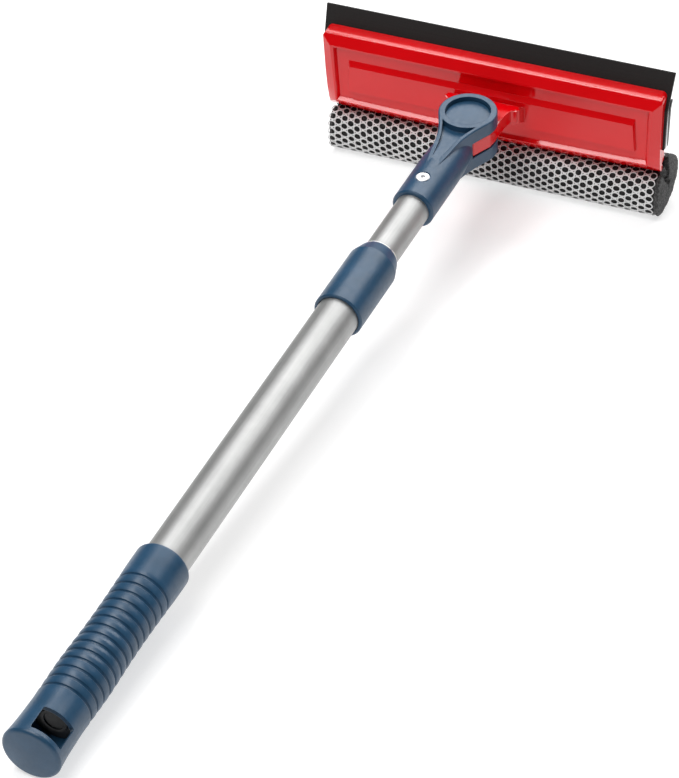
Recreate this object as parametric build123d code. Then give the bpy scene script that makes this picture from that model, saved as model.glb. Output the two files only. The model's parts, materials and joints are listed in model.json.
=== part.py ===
from build123d import *
import math
import os

# Telescopic window washer: a two-section pole with a twist lock and a swivelling head
# that carries a rubber squeegee blade above and a net-covered sponge below.
#
# Units are millimetres.  The model is drawn in a working frame: origin at the centre of the
# head's pivot, +Y along the pole from grip to head, +Z along the pivot axis.  The head is then
# turned a little about the pivot, and the whole tool is laid on the ground, where it rests on
# the sponge and on the end of the grip: the origin is at the centre of its footprint, +Z up.

# ---------------------------------------------------------------- driving dimensions
# pole tubes (radii) and their wall
OUTER_TUBE_R = 12.5
INNER_TUBE_R = 10.25
TUBE_WALL = 0.8
RUNNING = 0.06          # radial clearance of a running fit
CLEAR = 0.3             # clearance between parts that move past each other freely

# stations along the pole (Y)
GRIP_END = -538.3
GRIP_FRONT = -395.0
OUTER_TUBE_REAR = -511.0
OUTER_TUBE_FRONT = -161.0
INNER_TUBE_REAR = -448.0
INNER_TUBE_FRONT = -49.0
COLLAR_REAR = -183.0
COLLAR_SHOULDER = -137.6
COLLAR_NOSE = -128.0
SOCKET_RIM = -81.0
RIVET_Y = -65.6

# pole head (fork) and pivot
SOCKET_R = 12.9
EAR_R = 17.5
EAR_TOP = 14.05         # half height of the fork
SLOT_HALF = 5.3         # half height of the slot between the ears
SLOT_END_R = 21.4
RECESS_R = 13.55
RECESS_DEPTH = 4.6
CAP_SET_BACK = 3.0      # how deep the cap sits below the ear's rim
CAP_THICKNESS = RECESS_DEPTH - CAP_SET_BACK
SCREW_R = 3.0
SPACER_R = 5.0
TONGUE_HALF = 4.9       # half height of the head's tongue
TONGUE_R = 17.3
LOBE_R = 20.0

# head plate, in the head's own XZ outline and YZ section
PLATE_HALF_TOP = 107.9
PLATE_HALF_BOTTOM = 106.4
PLATE_TOP = 19.9
PLATE_BOTTOM = -36.6     # at the ends; the lower edge bows down towards the middle
PLATE_BOW = 2.2
PLATE_BACK = 43.0
RIDGE_Y = 35.7          # foremost face: the ridge of the frame and the raised pad
RECESS_FLOOR_Y = 38.1
RIDGE_TOP_Z = 12.9
RIDGE_BOTTOM_Z = -28.0
RIDGE_HALF_TOP = 102.6
RIDGE_HALF_BOTTOM = 100.4
TOP_CORNER = 3.0
HEAD_YAW = 3.06         # degrees, how far the head is turned on its pivot

# blade pack behind the plate
PACK_BOTTOM = -20.0
BEND_Z = 9.2
LEAN = math.tan(math.radians(25.4))
BLADE_THICKNESS = 2.0
STIFFENER_THICKNESS = 1.7
CLAMP_THICKNESS = 2.8
BLADE_TOP = 30.6
BLADE_HALF_TOP = 110.6
BLADE_HALF_BOTTOM = 107.9
PACK_TOP = 16.0
STIFFENER_HALF_TOP = 109.5
CLAMP_HALF_TOP = 110.2
PACK_HALF_BOTTOM = 108.5

# sponge channel, sponge and net
CHANNEL_DEPTH = 57.2
CHANNEL_WALL = 2.4
CHANNEL_FLOOR = -33.4
SPONGE_HALF = 106.4
NET_HALF = 105.2
NET_THICKNESS = 0.8

PARTS = "parts"


# ---------------------------------------------------------------- helpers
def polygon_face(points):
    return make_face(Polyline(*points, close=True))


def turned(points):
    """Solid of revolution about the pole axis from (radius, y) points."""
    return revolve(polygon_face(points), Axis.Y)


def pole_cylinder(radius, y_from, y_to):
    return turned([(0, y_from), (radius, y_from), (radius, y_to), (0, y_to)])


def tube(outer_r, inner_r, y_from, y_to):
    return turned([(inner_r, y_from), (outer_r, y_from), (outer_r, y_to), (inner_r, y_to)])


def pivot_cylinder(radius, z_from, z_to, x=0.0, y=0.0):
    return Pos(x, y, (z_from + z_to) / 2) * Cylinder(radius, z_to - z_from)


def plan_prism(points, z_from, z_to):
    """Vertical prism over a plan outline of (x, y) points."""
    return extrude(Pos(0, 0, z_from) * polygon_face(points), z_to - z_from, dir=(0, 0, 1))


def section_prism(points, half_length):
    """Prism along X over a section of (y, z) points."""
    section = Plane.YZ * polygon_face(points)
    return extrude(section, half_length, dir=(1, 0, 0), both=True)


def front_prism(points, y_from, y_to):
    """Prism along Y over a front outline of (x, z) points."""
    outline = make_face(Polyline(*[(x, y_from, z) for x, z in points], close=True))
    return extrude(outline, y_to - y_from, dir=(0, 1, 0))


def mirrored_outline(right_side):
    """Outline symmetrical about x = 0 from its right side, listed once."""
    return right_side + [(-x, y) for x, y in reversed(right_side)]


def rounded_corner(before, corner, after, reach, steps=5):
    """Points of a smooth curve that cuts a corner, starting and ending at a reach from it."""
    def towards(target):
        length = math.dist(corner, target)
        return tuple(c + (t - c) * reach / length for c, t in zip(corner, target))
    start, end = towards(before), towards(after)
    points = []
    for step in range(steps + 1):
        t = step / steps
        points.append(tuple((1 - t) ** 2 * a + 2 * t * (1 - t) * c + t ** 2 * b
                            for a, c, b in zip(start, corner, end)))
    return points


def y_cylinder(radius, y_from, y_to, x, z):
    """Cylinder along Y at a place on the head."""
    return Pos(x, (y_from + y_to) / 2, z) * Rot(90, 0, 0) * Cylinder(radius, y_to - y_from)


# ---------------------------------------------------------------- handle
GRIP_RIBS = 13
GRIP_RIB_PITCH = 6.35
GRIP_RIB_REAR = -501.5
GRIP_GROOVE_DEPTH = 1.5
GRIP_GROOVE_WIDTH = 1.9
GRIP_RIB_LIP = 0.45        # rounding of each rib's front edge
GRIP_RIB_FALL = 0.5        # each rib falls by this much towards its rear edge ...
GRIP_RIB_FALL_RUN = 2.2    # ... over this length
# outer radius of the grip along the pole, from the end forwards: (station, radius)
GRIP_PROFILE = [
    (-535.2, 16.4), (-529.0, 15.8), (-518.0, 15.3), (-506.0, 15.1), (-494.0, 15.4),
    (-483.0, 15.6), (-470.0, 15.25), (-458.0, 14.9), (-445.0, 14.8), (-433.0, 14.9),
    (-420.0, 15.2), (-408.0, 15.45), (-397.0, 15.5),
]
GRIP_END_WALL = 2.6
WINDOW_Y = -525.3
WINDOW_LENGTH = 15.0
WINDOW_WIDTH = 18.4
WINDOW_TURN = 34.0      # degrees from +Z towards +X
WINDOW_CORNER = 0.8


def grip_radius(y):
    """Outer radius of the grip at a station, read off its profile."""
    for (y0, r0), (y1, r1) in zip(GRIP_PROFILE, GRIP_PROFILE[1:]):
        if y0 <= y <= y1:
            return r0 + (r1 - r0) * (y - y0) / (y1 - y0)
    return GRIP_PROFILE[-1][1]


def rib_groove(y):
    """Outline of one groove between two ribs, from rear to front.

    The rib behind the groove ends in a small rounded lip, the rib in front of it rises slowly.
    """
    crown = grip_radius(y)
    half = GRIP_GROOVE_WIDTH / 2
    lip = GRIP_RIB_LIP
    fall = GRIP_RIB_FALL
    run = GRIP_RIB_FALL_RUN
    rear_lip = ThreePointArc(
        (crown, y - half - lip), (crown - 0.3 * lip, y - half - 0.3 * lip), (crown - lip, y - half))
    bottom = ThreePointArc((crown - lip, y - half), (crown - GRIP_GROOVE_DEPTH, y), (crown - fall, y + half))
    rise = ThreePointArc(
        (crown - fall, y + half), (crown - 0.26 * fall, y + half + 0.5 * run), (crown, y + half + run))
    return [rear_lip, bottom, rise]


def grip_ribs():
    """Outline of the ribbed stretch: ribs that rise towards the head, with a narrow groove before each."""
    outline = []
    for index in range(GRIP_RIBS + 1):
        groove = rib_groove(GRIP_RIB_REAR + index * GRIP_RIB_PITCH)
        if outline:
            outline.append(Line(outline[-1] @ 1, groove[0] @ 0))
        outline += groove
    return outline


def grip_skin():
    """Outer form of the grip, closed on the pole axis."""
    ribs = grip_ribs()
    ribs_rear = ribs[0] @ 0
    ribs_front = ribs[-1] @ 1
    rear_band = [(radius, y) for y, radius in GRIP_PROFILE if y < ribs_rear.Y - 3]
    front_band = [(radius, y) for y, radius in GRIP_PROFILE if y > ribs_front.Y + 3]
    dome = ThreePointArc((0, GRIP_END), (7.4, GRIP_END + 0.3), (14.2, GRIP_END + 1.1))
    edge = ThreePointArc((14.2, GRIP_END + 1.1), (15.8, GRIP_END + 1.9), rear_band[0])
    rear = Spline(*rear_band, ribs_rear)
    front = Spline(ribs_front, *front_band)
    mouth = front_band[-1][0]
    lip = ThreePointArc(front_band[-1], (mouth - 0.5, GRIP_FRONT - 0.6), (mouth - 1.6, GRIP_FRONT))
    closing = Polyline((mouth - 1.6, GRIP_FRONT), (0, GRIP_FRONT), (0, GRIP_END))
    outline = [dome, edge, rear] + ribs + [front, lip]
    return revolve(make_face(Wire(outline + list(closing.edges()))), Axis.Y)


def make_grip():
    """Hollow ribbed grip with a hanging window across its closed end."""
    body = grip_skin() - pole_cylinder(OUTER_TUBE_R, GRIP_END + GRIP_END_WALL, GRIP_FRONT + 1)
    window = Box(WINDOW_WIDTH, WINDOW_LENGTH, 60)
    window = fillet(window.edges().filter_by(Axis.Z), WINDOW_CORNER)
    return body - Rot(0, WINDOW_TURN, 0) * Pos(0, WINDOW_Y, 0) * window


def make_outer_tube():
    return tube(OUTER_TUBE_R, OUTER_TUBE_R - TUBE_WALL, OUTER_TUBE_REAR, OUTER_TUBE_FRONT)


def make_tube_end_plug():
    """Cup pressed into the rear of the outer tube, closing it behind the hanging window."""
    bore = OUTER_TUBE_R - TUBE_WALL
    rear = OUTER_TUBE_REAR
    return turned([
        (0, rear - 1.2), (5.6, rear - 1.2), (5.8, rear - 1.9), (7.4, rear - 1.9), (7.6, rear - 1.2),
        (OUTER_TUBE_R - 0.2, rear - 1.2), (OUTER_TUBE_R - 0.2, rear), (bore, rear),
        (bore, rear + 8), (bore - 1.5, rear + 9), (bore - 1.5, rear + 1.2), (0, rear + 1.2),
    ])


SLEEVE_REAR = -186.0
SLEEVE_THREAD_R = 12.6
SLEEVE_SLOTS = 4
SLEEVE_SLOT_WIDTH = 1.6


def make_lock_sleeve():
    """Split clamping sleeve: a spigot in the outer tube, a threaded part and sprung fingers."""
    bore = INNER_TUBE_R + RUNNING
    spigot = OUTER_TUBE_R - TUBE_WALL
    front = OUTER_TUBE_FRONT
    sleeve = turned([
        (bore, SLEEVE_REAR), (spigot, SLEEVE_REAR), (spigot, front), (SLEEVE_THREAD_R - 0.5, front),
        (SLEEVE_THREAD_R - 0.5, -148.0), (12.0, -147.0), (12.0, -142.5), (10.85, -130.5),
        (10.85, COLLAR_NOSE), (11.15, COLLAR_NOSE + 0.15), (11.15, COLLAR_NOSE + 0.9),
        (bore, COLLAR_NOSE + 0.9),
    ])
    for index in range(4):
        y = front + 1.6 + index * 3.0
        ring = turned([
            (bore + 1, y), (SLEEVE_THREAD_R - 0.5, y), (SLEEVE_THREAD_R, y + 0.5),
            (SLEEVE_THREAD_R, y + 1.1), (SLEEVE_THREAD_R - 0.5, y + 1.6), (bore + 1, y + 1.6),
        ])
        sleeve += ring
    for index in range(SLEEVE_SLOTS):
        slot = Pos(0, -138.0, 12.0) * Box(SLEEVE_SLOT_WIDTH, 24.0, 8.0)
        sleeve -= Rot(0, 45 + 360 / SLEEVE_SLOTS * index, 0) * slot
    return sleeve


# ---------------------------------------------------------------- locking collar
COLLAR_R = 14.67
COLLAR_NOSE_R = 11.9


def make_lock_collar():
    """Twist collar with an inner cone that squeezes the sleeve's fingers."""
    tube_clear = OUTER_TUBE_R + CLEAR
    thread_clear = SLEEVE_THREAD_R + CLEAR
    nose_clear = 11.2
    outside = [
        (COLLAR_R - 0.7, COLLAR_REAR), (COLLAR_R, COLLAR_REAR + 0.7), (COLLAR_R, COLLAR_SHOULDER),
        (COLLAR_R - 0.2, COLLAR_SHOULDER + 0.8), (COLLAR_NOSE_R + 0.2, COLLAR_NOSE - 1.4),
        (COLLAR_NOSE_R - 0.5, COLLAR_NOSE),
    ]
    inside = [
        (nose_clear, COLLAR_NOSE), (nose_clear, -130.5), (12.4, -143.0), (12.4, -146.5),
        (thread_clear, -147.5), (thread_clear, OUTER_TUBE_FRONT - 1), (tube_clear, OUTER_TUBE_FRONT - 1.5),
        (tube_clear, COLLAR_REAR),
    ]
    return turned(outside + inside)


# ---------------------------------------------------------------- sliding inner section
BUSH_LENGTH = 14.0
BUSH_SPIGOT = 26.0
PIN_R = 1.2
PIN_Y = INNER_TUBE_REAR + 15.0


def make_guide_bush():
    """Bush that runs in the outer tube and lets the inner tube turn on its spigot."""
    flange_r = OUTER_TUBE_R - TUBE_WALL - RUNNING
    spigot_r = INNER_TUBE_R - TUBE_WALL - RUNNING
    rear = INNER_TUBE_REAR - BUSH_LENGTH
    groove = PIN_R + CLEAR
    return turned([
        (6.5, rear), (flange_r - 0.8, rear), (flange_r, rear + 1), (flange_r, INNER_TUBE_REAR - 0.2),
        (spigot_r, INNER_TUBE_REAR - 0.2), (spigot_r, PIN_Y - groove), (spigot_r - 1.6, PIN_Y - groove),
        (spigot_r - 1.6, PIN_Y + groove), (spigot_r, PIN_Y + groove),
        (spigot_r, INNER_TUBE_REAR + BUSH_SPIGOT - 1), (spigot_r - 1, INNER_TUBE_REAR + BUSH_SPIGOT),
        (6.5, INNER_TUBE_REAR + BUSH_SPIGOT),
    ])


def guide_pin(turn):
    """Pin through the tube wall whose tip runs in the bush's groove."""
    outer = INNER_TUBE_R - 0.1
    inner = INNER_TUBE_R - TUBE_WALL - 1.1
    return Rot(0, turn, 0) * Pos(0, PIN_Y, 0) * pivot_cylinder(PIN_R, inner, outer)


def make_guide_pins():
    return Compound(children=[guide_pin(0), guide_pin(180)])


def make_inner_tube():
    body = tube(INNER_TUBE_R, INNER_TUBE_R - TUBE_WALL, INNER_TUBE_REAR, INNER_TUBE_FRONT)
    for turn in (0, 180):
        body -= Rot(0, turn, 0) * Pos(0, PIN_Y, 0) * pivot_cylinder(PIN_R, 6, 14)
    return body - Pos(0, RIVET_Y, 0) * pivot_cylinder(RIVET_SHANK_R, 5, 14)


# ---------------------------------------------------------------- fork
RIVET_SHANK_R = 2.0
RIVET_HEAD_R = 4.0
RIVET_HOLE_R = 1.25
RIVET_SEAT = SOCKET_R - 0.85
FORK_ROUND = 0.9
EAR_RIM = 2.4           # width of the rims beside the sunken panel
EAR_SLOPE_Y = -26.0     # from here the ears' tops slope down to meet the socket
EAR_TIP_TOP = 11.9      # half height of the ears at y = -60
# right side of the ears' plan outline, from the ear's circle down to the tip of the drop
EAR_LEAVE_ANGLE = -26.0
EAR_NECK = [(10.6, -19.0), (8.3, -26.0), (6.6, -34.0), (5.2, -44.0), (3.6, -54.0)]


def ear_outline(inset=0.0):
    """Drop-shaped plan of an ear: round at the pivot and narrowing along the neck."""
    radius = EAR_R - inset
    angle = math.radians(EAR_LEAVE_ANGLE)
    leave = (radius * math.cos(angle), radius * math.sin(angle))
    neck = [(x - inset, y) for x, y in EAR_NECK]
    tangent = (math.sin(angle), -math.cos(angle))
    side = Spline(leave, *neck, tangents=[tangent, (-0.1, -1)])
    other = Spline(*[(-x, y) for x, y in reversed(neck)], (-leave[0], leave[1]),
                   tangents=[(-0.1, 1), (tangent[0], -tangent[1])])
    arc = ThreePointArc((-leave[0], leave[1]), (0, radius), leave)
    tip = Line(neck[-1], (-neck[-1][0], neck[-1][1]))
    return make_face(Wire([arc, side, tip, other]))


def neck_panel_cut():
    """Sunken panel between the rims, deepest at the ring and fading towards the socket."""
    panel = extrude(Pos(0, 0, 6) * ear_outline(inset=EAR_RIM), 14, dir=(0, 0, 1))
    wedge = section_prism([(-8, 9.6), (-24, 10.6), (-38, 12.0), (-52, 13.2), (-52, 22), (-8, 22)], 20)
    ring = pivot_cylinder(EAR_R - 0.9, 6, 22)
    return (panel & wedge) - ring


def make_fork():
    """Fork that holds the pivot: socket, neck and two ears."""
    ears = extrude(Pos(0, 0, -EAR_TOP) * ear_outline(), 2 * EAR_TOP, dir=(0, 0, 1))
    levels = ears.faces().sort_by(Axis.Z)
    ears = fillet(levels[-1].edges() + levels[0].edges(), FORK_ROUND)
    ears &= section_prism(
        [(-60, -EAR_TIP_TOP), (EAR_SLOPE_Y, -EAR_TOP), (20, -EAR_TOP), (20, EAR_TOP), (EAR_SLOPE_Y, EAR_TOP),
         (-60, EAR_TIP_TOP)], 20)
    socket = turned([
        (0, SOCKET_RIM), (SOCKET_R - 0.9, SOCKET_RIM), (SOCKET_R, SOCKET_RIM + 0.9),
        (SOCKET_R, -42.0), (12.5, -32.0), (11.2, -20.0), (9.0, -10.0), (0, -10.0),
    ])
    body = ears + socket
    body -= pole_cylinder(INNER_TUBE_R, SOCKET_RIM - 1, INNER_TUBE_FRONT)
    slot = Pos(0, 20, 0) * Box(60, 40, 2 * SLOT_HALF) + pivot_cylinder(SLOT_END_R, -SLOT_HALF, SLOT_HALF)
    body -= slot
    for side in (1, -1):
        panel = neck_panel_cut()
        recess = pivot_cylinder(RECESS_R, EAR_TOP - RECESS_DEPTH, EAR_TOP + 5)
        if side < 0:
            panel = mirror(panel, Plane.XY)
            recess = mirror(recess, Plane.XY)
        body -= panel
        body -= recess
    body -= pivot_cylinder(SCREW_R, -20, 20)
    body -= pivot_cylinder(SCREW_HEAD_R + 0.4, HEAD_SEAT, EAR_TOP)
    body -= extrude(Pos(0, 0, -EAR_TOP) * RegularPolygon(NUT_R + 0.1, 6), EAR_TOP - NUT_SEAT, dir=(0, 0, 1))
    body -= Pos(0, RIVET_Y, 0) * pivot_cylinder(RIVET_SHANK_R, 5, 20)
    body -= Pos(0, RIVET_Y, 0) * pivot_cylinder(RIVET_HEAD_R + 0.6, RIVET_SEAT, 20)
    return body


def make_socket_rivet():
    """Blind rivet through the socket and the inner tube."""
    seat = RIVET_SEAT
    tail = INNER_TUBE_R - TUBE_WALL
    profile = [
        (RIVET_HOLE_R, tail - 3.2), (RIVET_SHANK_R, tail - 3.2), (RIVET_SHANK_R + 0.8, tail - 2.0),
        (RIVET_SHANK_R + 0.6, tail - 0.6), (RIVET_SHANK_R, tail - 0.6), (RIVET_SHANK_R, seat),
        (RIVET_HEAD_R, seat), (RIVET_HEAD_R, seat + 0.4), (RIVET_HEAD_R - 0.4, seat + 0.75),
        (RIVET_HOLE_R + 0.4, seat + 1.0), (RIVET_HOLE_R, seat + 0.8),
    ]
    section = Plane.XZ * polygon_face(profile)
    return Pos(0, RIVET_Y, 0) * revolve(section, Axis.Z)


def make_rivet_mandrel():
    tail = INNER_TUBE_R - TUBE_WALL
    return Pos(0, RIVET_Y, 0) * pivot_cylinder(RIVET_HOLE_R, tail - 3.2, RIVET_SEAT - 0.6)


# ---------------------------------------------------------------- pivot hardware
SCREW_HEAD_R = 5.6
SCREW_HEAD_H = 1.5
SPRING_WASHER_H = 0.7
HEAD_SEAT = SLOT_HALF + 1.8
NUT_R = 5.77
NUT_H = 2.2
NUT_SEAT = SLOT_HALF + 1.8
WASHER_R = 12.5
WASHER_THICKNESS = 0.35


def make_pivot_screw():
    under_head = HEAD_SEAT + SPRING_WASHER_H
    head = pivot_cylinder(SCREW_HEAD_R, under_head, under_head + SCREW_HEAD_H)
    drive = pivot_cylinder(2.2, under_head + 0.7, EAR_TOP)
    shank = pivot_cylinder(SCREW_R, -NUT_SEAT - NUT_H, under_head)
    return head + shank - drive


def make_spring_washer():
    return pivot_cylinder(5.4, HEAD_SEAT, HEAD_SEAT + SPRING_WASHER_H) - pivot_cylinder(SCREW_R, 0, 20)


def make_pivot_nut():
    body = extrude(Pos(0, 0, -NUT_SEAT - NUT_H) * RegularPolygon(NUT_R, 6), NUT_H, dir=(0, 0, 1))
    return body - pivot_cylinder(SCREW_R, -20, 0)


def make_pivot_spacer():
    ring = pivot_cylinder(SPACER_R, -SLOT_HALF, SLOT_HALF)
    return ring - pivot_cylinder(SCREW_R, -20, 20)


def make_friction_washer(side):
    low = SLOT_HALF - WASHER_THICKNESS
    ring = pivot_cylinder(WASHER_R, low, SLOT_HALF) - pivot_cylinder(SPACER_R, 0, 20)
    return ring if side > 0 else mirror(ring, Plane.XY)


def make_pivot_cap(side):
    """Disc that closes the ear's recess over the screw or the nut."""
    base = EAR_TOP - RECESS_DEPTH
    disc = pivot_cylinder(RECESS_R - 0.05, base, base + CAP_THICKNESS)
    disc = fillet(disc.edges().sort_by(Axis.Z)[-1], 0.35)
    return disc if side > 0 else mirror(disc, Plane.XY)


# ---------------------------------------------------------------- head
TONGUE_SIDE = [
    (10.0, -math.sqrt(LOBE_R ** 2 - 100.0)), (16.2, -6.1), (TONGUE_R, 0.0), (17.1, 9.0),
    (18.0, 16.0), (19.4, 20.8), (23.6, 23.6), (23.6, 24.6),
]
SHOULDER_HALF = 23.6
SHOULDER_NECK = 19.4
SHOULDER_BOTTOM = -6.8
ARM_HALF = 22.6
TONGUE_ROUND = 1.2
TONGUE_FALL = 0.09      # slope of the tongue's top, from EAR_TO_FALL backwards
EAR_TO_FALL = 7.0
ARM_TOP_Z = -5.0
ARM_BOTTOM_Z = -15.5


def make_tongue():
    """Flat tongue between the ears, its shoulder, and the arm that slopes to the plate."""
    flat = plan_prism(mirrored_outline(TONGUE_SIDE), -TONGUE_HALF, TONGUE_HALF)
    lobe = pivot_cylinder(LOBE_R, -TONGUE_HALF, TONGUE_HALF)
    lobe &= plan_prism([(10, -30), (10, -5), (-10, -5), (-10, -30)], -TONGUE_HALF, TONGUE_HALF)
    tongue = flat + lobe
    under = tongue.faces().sort_by(Axis.Z)[0].edges().filter_by(lambda edge: (edge @ 0.5).Y < 12)
    tongue = fillet(under, TONGUE_ROUND)
    rear = TONGUE_SIDE[-1][1]
    arm = section_prism([
        (rear - 3, TONGUE_HALF - 2), (rear, TONGUE_HALF), (RIDGE_Y + 1, ARM_TOP_Z),
        (RIDGE_Y + 1, ARM_BOTTOM_Z), (rear - 3, -TONGUE_HALF),
    ], ARM_HALF)
    shoulder = plan_prism([
        (SHOULDER_HALF, rear - 1.0), (SHOULDER_HALF, rear), (-SHOULDER_HALF, rear),
        (-SHOULDER_HALF, rear - 1.0), (-SHOULDER_NECK, rear - 3.8), (SHOULDER_NECK, rear - 3.8),
    ], SHOULDER_BOTTOM, TONGUE_HALF)
    # clear of the ears, the top falls away towards the plate
    drop = TONGUE_FALL * (RIDGE_Y + 4 - EAR_TO_FALL)
    fall = section_prism([
        (EAR_TO_FALL, TONGUE_HALF), (EAR_TO_FALL, TONGUE_HALF + 3), (RIDGE_Y + 4, TONGUE_HALF + 3),
        (RIDGE_Y + 4, TONGUE_HALF - drop),
    ], SHOULDER_HALF + 1)
    return tongue + arm + shoulder - fall


def bowed_band(points):
    """Solid along the plate's bowed lower edge, from its (y, z) section at mid length."""
    radius = (PLATE_HALF_BOTTOM ** 2 + PLATE_BOW ** 2) / (2 * PLATE_BOW)
    axis = Axis((0, 0, PLATE_BOTTOM - PLATE_BOW + radius), (0, 1, 0))
    half_turn = math.degrees(math.asin(130 / radius))
    section = (Plane.YZ * polygon_face(points)).rotate(axis, -half_turn)
    return revolve(section, axis, 2 * half_turn)


LIP_FRONT = 43.6        # thickness of the plate's lower lip, from LIP_FRONT to LIP_BACK
LIP_BACK = 46.0
FLANGE_FRONT = 39.3
FLANGE_DROP = 0.4       # the flange falls by this much from the blade to its front edge
EDGE_REACH = 1.1        # rounding of the flange's front edge


def plate_blank():
    """Front plate with bevelled frame, before its relief is cut."""
    low = PLATE_BOTTOM - PLATE_BOW - 1
    outline = [
        (PLATE_HALF_TOP, PLATE_TOP), (PLATE_HALF_BOTTOM, PLATE_BOTTOM), (PLATE_HALF_BOTTOM, low),
        (-PLATE_HALF_BOTTOM, low), (-PLATE_HALF_BOTTOM, PLATE_BOTTOM), (-PLATE_HALF_TOP, PLATE_TOP),
    ]
    front = front_prism(outline, RIDGE_Y - 1, CHANNEL_DEPTH + 5)
    front = fillet(front.edges().filter_by(Axis.Y).sort_by(Axis.Z)[-2:], TOP_CORNER)
    ridge = (RIDGE_Y, RIDGE_TOP_Z)
    flange_back = (PLATE_BACK + (PLATE_TOP - BEND_Z) * LEAN, PLATE_TOP)
    flange_edge = rounded_corner(flange_back, (FLANGE_FRONT, PLATE_TOP - FLANGE_DROP), ridge, EDGE_REACH)
    channel_back = CHANNEL_DEPTH - CHANNEL_WALL
    section = section_prism(flange_edge + [
        ridge, (RIDGE_Y, low), (LIP_BACK, low), (LIP_BACK, -34.0), (42.6, -28.0), (42.6, -22.5),
        (channel_back, -22.5), (channel_back, CHANNEL_FLOOR), (CHANNEL_DEPTH, CHANNEL_FLOOR),
        (CHANNEL_DEPTH, PACK_BOTTOM), (PLATE_BACK, PACK_BOTTOM), (PLATE_BACK, BEND_Z), flange_back,
    ], 120)
    body = front & section
    middle = PLATE_BOTTOM - PLATE_BOW
    body -= bowed_band([
        (RIDGE_Y - 5, RIDGE_BOTTOM_Z - PLATE_BOW), (RIDGE_Y, RIDGE_BOTTOM_Z - PLATE_BOW), (LIP_FRONT, middle),
        (LIP_BACK + 0.5, middle), (LIP_BACK + 0.5, middle - 20), (RIDGE_Y - 5, middle - 20),
    ])
    for side in (1, -1):
        body -= side_bevel(side)
        body -= Pos(side * (CHANNEL_END + 10), END_WALL_BACK + 10, -30) * Box(20, 20, 30)
    return body


# how far back the frame's outer edge lies at each height: (z, y)
SIDE_RIM = [(24.0, 39.0), (-8.0, 38.9), (-22.0, 40.0), (-30.0, 41.9), (-42.0, 46.4)]
CHANNEL_END = 101.0     # behind the end walls the channel stops here


def side_bevel(side):
    """Cutter that slopes a side strip of the frame back from its ridge to its outer edge."""
    slope = (RIDGE_HALF_TOP - RIDGE_HALF_BOTTOM) / (RIDGE_TOP_Z - RIDGE_BOTTOM_Z)
    rings = []
    for z, rim_y in SIDE_RIM:
        ridge_x = RIDGE_HALF_BOTTOM + slope * (z - RIDGE_BOTTOM_Z)
        points = [(ridge_x, RIDGE_Y), (109.0, rim_y), (130.0, rim_y), (130.0, 20.0), (ridge_x, 20.0)]
        rings.append(make_face(Polyline(*[(side * x, y, z) for x, y in points], close=True)))
    return loft(rings, ruled=True)


# relief outlines: half length at the top and at the bottom, then the z of the top (and of the bottom)
RECESS_FLOOR = (99.0, 97.9, 10.6)
RECESS_MOUTH = (100.5, 99.6, 11.9)
RECESS_DRAFT = 1.6      # how far the recess's lower wall slopes
RIDGE_FLAT = 0.6
PAD_FACE = (90.3, 91.6, -0.6, -19.2)
PAD_FOOT = (91.6, 92.6, 3.3, -20.2)
END_WALL_X = 104.4
END_WALL_BACK = 51.4
END_WALL_HALF = 1.2


def drafted_block(y_narrow, narrow, y_wide, wide):
    """Block along Y between two outlines, each (half length at the top, at the bottom, top z, bottom z)."""
    def outline(y, half_top, half_bottom, top, bottom):
        return make_face(Polyline(
            (half_top, y, top), (half_bottom, y, bottom), (-half_bottom, y, bottom), (-half_top, y, top),
            close=True))
    return loft([outline(y_narrow, *narrow), outline(y_wide, *wide)])


def make_relief_recess():
    """Cutter of the shallow recess inside the frame; its floor's lower edge bows with the plate."""
    low = RIDGE_BOTTOM_Z - PLATE_BOW - 2
    block = drafted_block(RECESS_FLOOR_Y, (*RECESS_FLOOR, low), RIDGE_Y - 0.01, (*RECESS_MOUTH, low))
    bottom = RIDGE_BOTTOM_Z - PLATE_BOW + RIDGE_FLAT
    return block - bowed_band([
        (RIDGE_Y - 1, bottom - 0.5), (RIDGE_Y, bottom), (RECESS_FLOOR_Y + 0.1, bottom + RECESS_DRAFT),
        (RECESS_FLOOR_Y + 0.1, bottom - 8), (RIDGE_Y - 1, bottom - 8),
    ])


def make_head_shell():
    """Red moulding: front plate with relief, top flange, sponge channel and tongue."""
    pad = drafted_block(RIDGE_Y, PAD_FACE, RECESS_FLOOR_Y + 0.5, PAD_FOOT)
    body = plate_blank() - make_relief_recess() + pad
    for side in (1, -1):
        wall = section_prism([
            (PLATE_BACK, PACK_BOTTOM), (END_WALL_BACK, PACK_BOTTOM), (END_WALL_BACK, CHANNEL_FLOOR),
            (LIP_BACK, CHANNEL_FLOOR), (42.0, -28.0),
        ], END_WALL_HALF)
        body += Pos(side * END_WALL_X, 0, 0) * wall
    body += make_tongue()
    body -= pivot_cylinder(SPACER_R + RUNNING, -20, 20)
    for x in CLAMP_SCREW_X:
        body -= y_cylinder(CLAMP_SCREW_R, CLAMP_SCREW_TIP, 45, x, CLAMP_SCREW_Z)
    for x in BAR_SCREW_X:
        body -= pivot_cylinder(BAR_SCREW_R, -23, PACK_BOTTOM + 1, x, BAR_Y)
    return body


def bent_strip(near, far, top, half_top, half_bottom):
    """Layer of the blade pack between two distances behind the plate, bent with the pack."""
    rise = math.hypot(1, LEAN)
    crest = (PLATE_BACK + (top - BEND_Z) * LEAN, top)

    def lower(offset):
        return (PLATE_BACK + offset, PACK_BOTTOM)

    def kink(offset):
        return (PLATE_BACK + offset, BEND_Z - offset * (rise - 1) / LEAN)

    def upper(offset):
        return (crest[0] + offset / rise, crest[1] - offset * LEAN / rise)

    strip = section_prism([lower(near), kink(near), upper(near), upper(far), kink(far), lower(far)], 130)
    low = PACK_BOTTOM - 1
    outline = [(half_top, top + 1), (half_bottom, low), (-half_bottom, low), (-half_top, top + 1)]
    return strip & front_prism(outline, 30, 70)


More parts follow.
